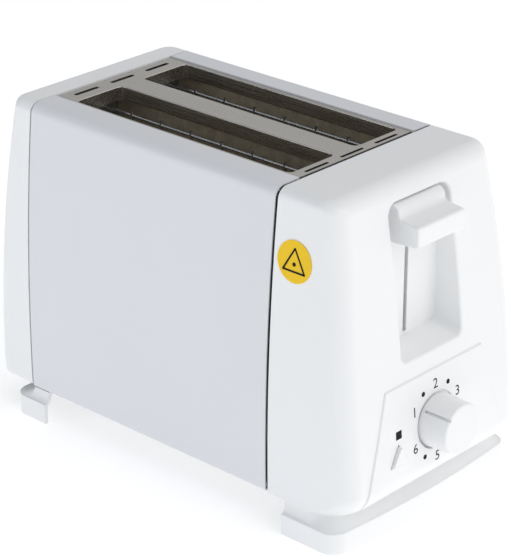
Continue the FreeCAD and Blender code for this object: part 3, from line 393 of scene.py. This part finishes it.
FRONT_TREE = BVHTree.FromPolygons(
    [v.co for v in NODES["front_cap"].data.vertices],
    [list(p.vertices) for p in NODES["front_cap"].data.polygons],
)


def front_surface(x, z):
    """The point of the front cap's outer face at that x and z, seen from the front."""
    hit = FRONT_TREE.ray_cast(Vector((x, RAY_START_Y, z)), Vector((0, 1, 0)))
    return hit[0]


def press_onto_front(faces, corners, name, centre):
    """Thin closed printing on the front face, from a flat mesh of (u, v) corners round centre."""
    def build(bm):
        top = []
        low = []
        for u, v in corners:
            spot = front_surface(centre.x + u, centre.z + v)
            top.append(bm.verts.new(spot - Vector((0, INK_DEPTH, 0))))
            low.append(bm.verts.new(spot + Vector((0, INK_DEPTH, 0))))
        edges = []
        for face in faces:
            bm.faces.new([top[i] for i in face])
            bm.faces.new([low[i] for i in reversed(face)])
            edges.extend(zip(face, face[1:] + face[:1]))
        for a, b in edges:
            if (b, a) not in edges:
                bm.faces.new([top[b], top[a], low[a], low[b]])

    new_object(name, mesh_from(name, build), "housing", INK)


def around(angle):
    """The place at that angle on the dial's ring of labels."""
    return KNOB_CENTRE + Vector((math.cos(angle), 0, math.sin(angle))) * LABEL_RADIUS


def glyph_outline(text, height):
    """Faces and corners of one flat printed figure, centred."""
    curve = bpy.data.curves.new("glyph", "FONT")
    curve.body = text
    curve.resolution_u = 6
    holder = bpy.data.objects.new("glyph", curve)
    bpy.context.scene.collection.objects.link(holder)
    graph = bpy.context.evaluated_depsgraph_get()
    mesh = bpy.data.meshes.new_from_object(holder.evaluated_get(graph))
    bpy.data.objects.remove(holder)
    xs = [v.co.x for v in mesh.vertices]
    ys = [v.co.y for v in mesh.vertices]
    scale = height / (max(ys) - min(ys))
    mid_x = (max(xs) + min(xs)) / 2
    mid_y = (max(ys) + min(ys)) / 2
    corners = [((v.co.x - mid_x) * scale, (v.co.y - mid_y) * scale) for v in mesh.vertices]
    faces = [list(p.vertices) for p in mesh.polygons]
    bpy.data.meshes.remove(mesh)
    return faces, corners


def print_dial_scale():
    """Numbers 1 to 6 with dots between them, clockwise round the dial from the upper left."""
    for k in range(LABEL_COUNT):
        faces, corners = glyph_outline(str(k + 1), DIGIT_HEIGHT)
        angle = math.radians(FIRST_LABEL_DEG) - math.radians(LABEL_STEP_DEG) * k
        press_onto_front(faces, corners, "dial_number_%d" % (k + 1), around(angle))
    turns = [2 * math.pi * k / DOT_SIDES for k in range(DOT_SIDES)]
    dot = [(DOT_RADIUS * math.cos(turn), DOT_RADIUS * math.sin(turn)) for turn in turns]
    for k in range(LABEL_COUNT - 1):
        angle = math.radians(FIRST_LABEL_DEG) - math.radians(LABEL_STEP_DEG * (k + 0.5))
        press_onto_front([list(range(DOT_SIDES))], dot, "dial_dot_%d" % (k + 1), around(angle))


def print_stop_mark():
    """A plain square, the usual sign for stop, above the stop button."""
    half = STOP_MARK_HALF
    corners = [(-half, -half), (half, -half), (half, half), (-half, half)]
    press_onto_front([[0, 1, 2, 3]], corners, "stop_mark", STOP_MARK_CENTRE)


def print_sticker_mark():
    """A plain triangle outline with a dot, on the round yellow sticker."""
    low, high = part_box("caution_sticker")
    radius = (high.z - low.z) / 2
    lean = math.atan2(high.x - low.x, high.z - low.z)
    side = Vector((0, -1, 0))
    up = Vector((math.sin(lean), 0, math.cos(lean)))
    out = side.cross(up)
    lift = (low + high) / 2 + out * STICKER_LIFT
    thickness = out * STICKER_INK

    def along(degrees):
        angle = math.radians(degrees)
        return side * math.cos(angle) + up * math.sin(angle)

    def rounded_triangle(size, corner_round):
        """Outline whose three corners are arcs of corner_round, nine points each."""
        points = []
        for turn in (90, 210, 330):
            middle = lift + along(turn) * (size - corner_round * 2) - up * radius * MARK_DROP
            points.extend(middle + along(turn + step * 15) * corner_round for step in range(-4, 5))
        return points

    def build(bm):
        outer = rounded_triangle(radius * MARK_OUTER, radius * MARK_OUTER_ROUND)
        inner = rounded_triangle(radius * MARK_INNER, radius * MARK_INNER_ROUND)
        add_frame(bm, outer, inner, thickness)
        middle = lift - up * radius * MARK_DOT_DROP
        turns = [360 * step / MARK_DOT_SIDES for step in range(MARK_DOT_SIDES)]
        add_prism(bm, [middle + along(turn) * radius * MARK_DOT for turn in turns], thickness)

    new_object("sticker_mark", mesh_from("sticker_mark", build), "housing", INK)


# ------------------------------------------------------------------ lift spring

SPRING_WIRE = 0.45 * MM         # radius of the wire
SPRING_TURNS = 9
STEPS_PER_TURN = 40
WIRE_SIDES = 10
END_TURN_RISE = 0.25            # how far a closed end turn rises, against an even turn
SPRING_PLAY = 0.4 * MM          # left free above the coil


def coil_height(share):
    """Share of the rise at that share of the turns: closed ends lie flat, free turns take the rest."""
    end = 1.0 / SPRING_TURNS
    flat = END_TURN_RISE * end
    if share < end:
        return flat * (share / end) ** 1.5
    if share > 1 - end:
        return 1 - flat * ((1 - share) / end) ** 1.5
    return flat + (1 - 2 * flat) * (share - end) / (1 - 2 * end)


def make_lift_spring():
    """Round-wire compression coil with closed ends, made at one length; it does not shorten as the lever
    goes down.
    """
    low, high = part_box("lift_spring")
    rod_low, rod_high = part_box("left_guide_rod")
    axis = (rod_low + rod_high) / 2
    radius = (high.x - low.x) / 2 - SPRING_WIRE
    total = SPRING_TURNS * STEPS_PER_TURN
    bottom = low.z + SPRING_WIRE
    rise = high.z - low.z - 2 * SPRING_WIRE - SPRING_PLAY

    def wire_ring(bm, step):
        turn = 2 * math.pi * step / STEPS_PER_TURN
        outward = Vector((math.cos(turn), math.sin(turn), 0))
        centre = Vector((axis.x, axis.y, bottom + rise * coil_height(step / total))) + outward * radius
        ring = []
        for k in range(WIRE_SIDES):
            angle = 2 * math.pi * k / WIRE_SIDES
            rim = outward * SPRING_WIRE * math.cos(angle) + Vector((0, 0, SPRING_WIRE * math.sin(angle)))
            ring.append(bm.verts.new(centre + rim))
        return ring

    def build(bm):
        rings = [wire_ring(bm, step) for step in range(total + 1)]
        for a, b in zip(rings, rings[1:]):
            for k in range(WIRE_SIDES):
                n = (k + 1) % WIRE_SIDES
                bm.faces.new([a[k], a[n], b[n], b[k]])
        bm.faces.new(rings[0][::-1])
        bm.faces.new(rings[-1])

    mesh = mesh_from("lift_spring_coil", build)
    for face in mesh.polygons:
        face.use_smooth = len(face.vertices) == 4
    coil = new_object("lift_spring_coil", mesh, "housing", SLOT_MATERIALS["spring_steel"])
    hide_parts("lift_spring")
    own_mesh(coil)


# ------------------------------------------------------------------ studio and camera

FLOOR_HALF = 20.0
FLOOR_GLOW = 0.45
SKY_TOWARDS = Vector((0.80, -0.55, 0.25)).normalized()
SKY_BRIGHT = (0.79, 0.775, 0.765, 1.0)      # surrounding light from the front right
SKY_DIM = (0.12, 0.165, 0.215, 1.0)         # and cooler from the other side
LIGHT_TARGET = Vector((0.0, 0.0, 0.08))


def make_floor():
    def build(bm):
        bmesh.ops.create_grid(bm, x_segments=1, y_segments=1, size=FLOOR_HALF)

    mesh = mesh_from("floor", build)
    floor = bpy.data.objects.new("floor", mesh)
    bpy.context.scene.collection.objects.link(floor)
    surface = Surface("floor_paper", (0.93, 0.93, 0.93), 0.9, specular=0.2)
    surface.vary_color(surface.noise(3.0), (0.92, 0.92, 0.92))
    surface.shader.inputs["Emission Color"].default_value = (1.0, 1.0, 1.0, 1.0)
    surface.shader.inputs["Emission Strength"].default_value = FLOOR_GLOW
    mesh.materials.append(surface.material)


def make_surroundings():
    """Soft light from all round, which runs from SKY_DIM to SKY_BRIGHT with the direction."""
    world = bpy.data.worlds.new("studio")
    world.use_nodes = True
    nodes = world.node_tree.nodes
    links = world.node_tree.links
    facing = nodes.new("ShaderNodeVectorMath")
    facing.operation = "DOT_PRODUCT"
    facing.inputs[1].default_value = SKY_TOWARDS
    links.new(nodes.new("ShaderNodeTexCoord").outputs["Generated"], facing.inputs[0])
    fade = nodes.new("ShaderNodeMapRange")
    fade.inputs["From Min"].default_value = -1.0
    links.new(facing.outputs["Value"], fade.inputs["Value"])
    mix = nodes.new("ShaderNodeMix")
    mix.data_type = "RGBA"
    mix.inputs["A"].default_value = SKY_DIM
    mix.inputs["B"].default_value = SKY_BRIGHT
    links.new(fade.outputs["Result"], mix.inputs["Factor"])
    background = nodes["Background"]
    background.inputs["Strength"].default_value = 1.0
    links.new(mix.outputs["Result"], background.inputs["Color"])
    bpy.context.scene.world = world


def area_light(name, place, size, power, color=(1.0, 1.0, 1.0)):
    data = bpy.data.lights.new(name, "AREA")
    data.shape = "RECTANGLE"
    data.size, data.size_y = size
    data.energy = power
    data.color = color
    lamp = bpy.data.objects.new(name, data)
    bpy.context.scene.collection.objects.link(lamp)
    lamp.location = place
    lamp.rotation_euler = (LIGHT_TARGET - Vector(place)).to_track_quat("-Z", "Y").to_euler()


def make_studio():
    make_floor()
    make_surroundings()
    area_light("key", (0.10, -1.5, 1.20), (1.6, 1.2), 7.4)
    area_light("left_fill", (-1.6, 0.75, 0.55), (1.0, 0.9), 6.1, (1.0, 0.985, 0.985))
    bpy.context.scene.view_settings.view_transform = "Standard"
    bpy.context.scene.view_settings.look = "None"
    bpy.context.scene.view_settings.exposure = 0.0


CAMERA_PLACE = Vector((-0.70443, -0.63961, 0.51076))
CAMERA_FORWARD = Vector((0.67294, 0.61432, -0.41203))
CAMERA_LENS = 147.1
CAMERA_SENSOR = 36.0
CAMERA_CLIP_START = 0.01
CAMERA_ROLL = math.radians(0.15)


def make_camera():
    data = bpy.data.cameras.new("camera")
    data.lens = CAMERA_LENS
    data.sensor_width = CAMERA_SENSOR
    data.clip_start = CAMERA_CLIP_START
    camera = bpy.data.objects.new("camera", data)
    bpy.context.scene.collection.objects.link(camera)
    aim = CAMERA_FORWARD.to_track_quat("-Z", "Y").to_matrix().to_4x4()
    camera.matrix_world = Matrix.Translation(CAMERA_PLACE) @ aim @ Matrix.Rotation(CAMERA_ROLL, 4, "Z")
    bpy.context.scene.camera = camera


# ------------------------------------------------------------------ build

dress_cad_nodes()
print_dial_scale()
print_stop_mark()
print_sticker_mark()
make_lift_spring()
make_studio()
make_camera()
